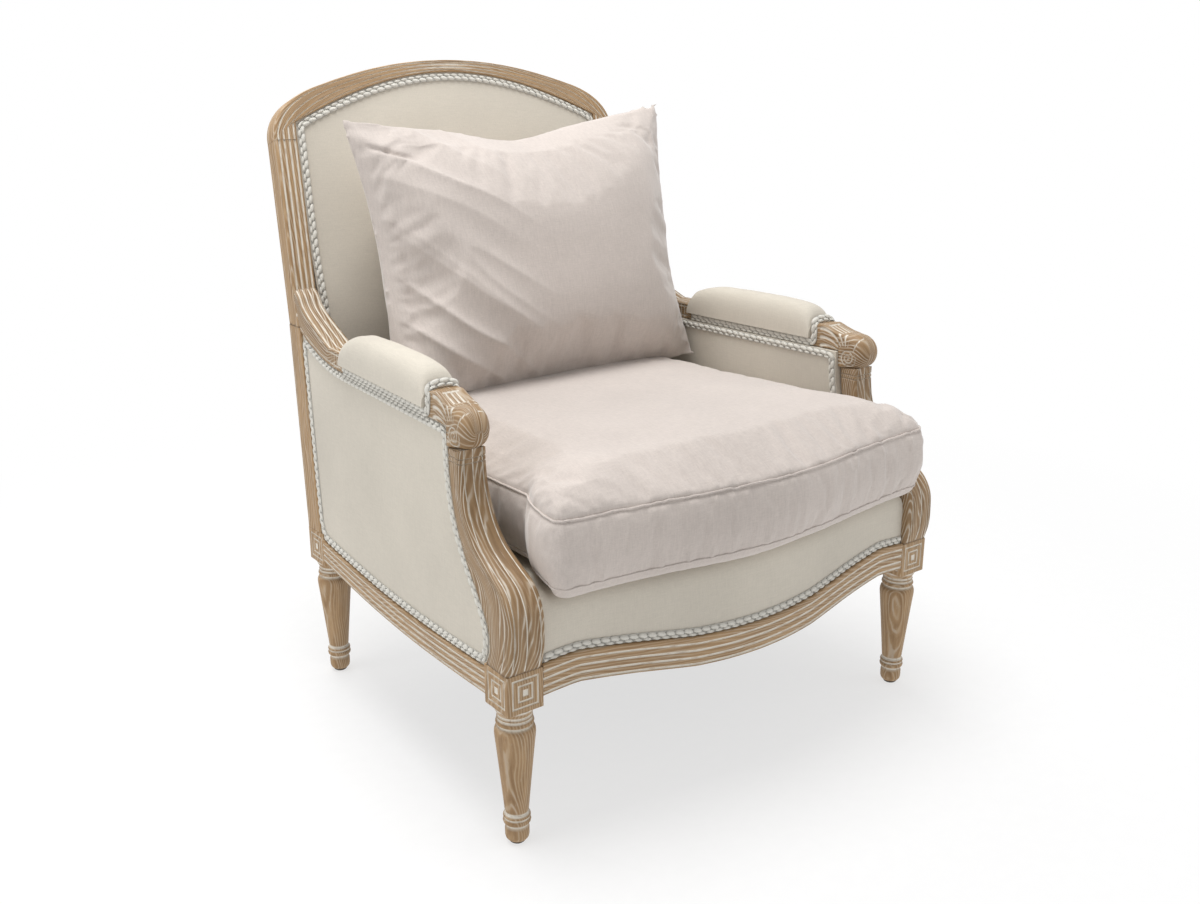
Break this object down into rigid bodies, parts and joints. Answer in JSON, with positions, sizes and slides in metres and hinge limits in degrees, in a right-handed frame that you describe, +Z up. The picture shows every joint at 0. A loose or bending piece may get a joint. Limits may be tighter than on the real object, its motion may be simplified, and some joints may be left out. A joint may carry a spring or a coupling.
{
  "type": "bergere armchair",
  "caption": "Upholstered armchair with a carved show-wood frame, turned legs, scrolled padded arms, closed sides, a loose T-shaped seat cushion and a loose back pillow.",
  "frame": {"origin": "middle of the footprint of the whole chair, on the floor", "axes": "+Z up, the chair faces -Y, +X is the chair's left-hand side as seen by someone sitting in it"},
  "size_m": [0.8076, 0.8974, 1.0008],
  "materials": {
    "oak": "limed open grain, matt",
    "pine": "planed, unfinished",
    "linen": "plain weave",
    "velvet": "slubby pile",
    "braid": "plaited cord",
    "webbing": "coarse weave",
    "dust_cloth": "thin felt",
    "steel": "plain",
    "nylon": "moulded"
  },
  "bodies": {
    "frame": {"arm_rail_left": "oak", "arm_rail_right": "oak", "arm_stump_left": "oak", "arm_stump_right": "oak", "back_bottom_rail": "pine", "back_post_left": "oak", "back_post_right": "oak", "back_stile_left": "oak", "back_stile_right": "oak", "crest_rail": "oak", "cross_web_strap_1": "webbing", "cross_web_strap_2": "webbing", "cross_web_strap_3": "webbing", "dust_cover": "dust_cloth", "front_braid": "braid", "front_corner_block_left": "pine", "front_corner_block_right": "pine", "front_corner_screw_left": "steel", "front_corner_screw_right": "steel", "front_foot_glide_left": "nylon", "front_foot_glide_right": "nylon", "front_leg_left": "oak", "front_leg_right": "oak", "front_seat_border": "linen", "front_seat_rail": "oak", "inside_arm_braid_left": "braid", "inside_arm_braid_right": "braid", "inside_arm_pad_left": "linen", "inside_arm_pad_right": "linen", "inside_back_braid": "braid", "inside_back_pad": "linen", "long_web_strap_1": "webbing", "long_web_strap_2": "webbing", "long_web_strap_3": "webbing", "long_web_strap_4": "webbing", "manchette_braid_left": "braid", "manchette_braid_right": "braid", "manchette_left": "linen", "manchette_right": "linen", "outside_arm_braid_left": "braid", "outside_arm_braid_right": "braid", "outside_arm_panel_left": "linen", "outside_arm_panel_right": "linen", "outside_back_braid": "braid", "outside_back_panel": "linen", "rear_corner_block_left": "pine", "rear_corner_block_right": "pine", "rear_corner_screw_left": "steel", "rear_corner_screw_right": "steel", "rear_foot_glide_left": "nylon", "rear_foot_glide_right": "nylon", "rear_leg_left": "oak", "rear_leg_right": "oak", "rear_seat_rail": "oak", "seat_platform": "linen", "side_seat_rail_left": "oak", "side_seat_rail_right": "oak"},
    "seat_cushion": {"seat_cushion": "velvet"},
    "back_cushion": {"back_cushion": "velvet"}
  },
  "joints": [
    {"name": "seat_cushion_lift", "type": "slide", "parent": "frame", "child": "seat_cushion", "axis": [0, -0.5, 0.866], "range_m": [0, 0.35]},
    {"name": "back_cushion_lift", "type": "slide", "parent": "seat_cushion", "child": "back_cushion", "axis": [0, 0, 1], "range_m": [0, 0.45]}
  ]
}
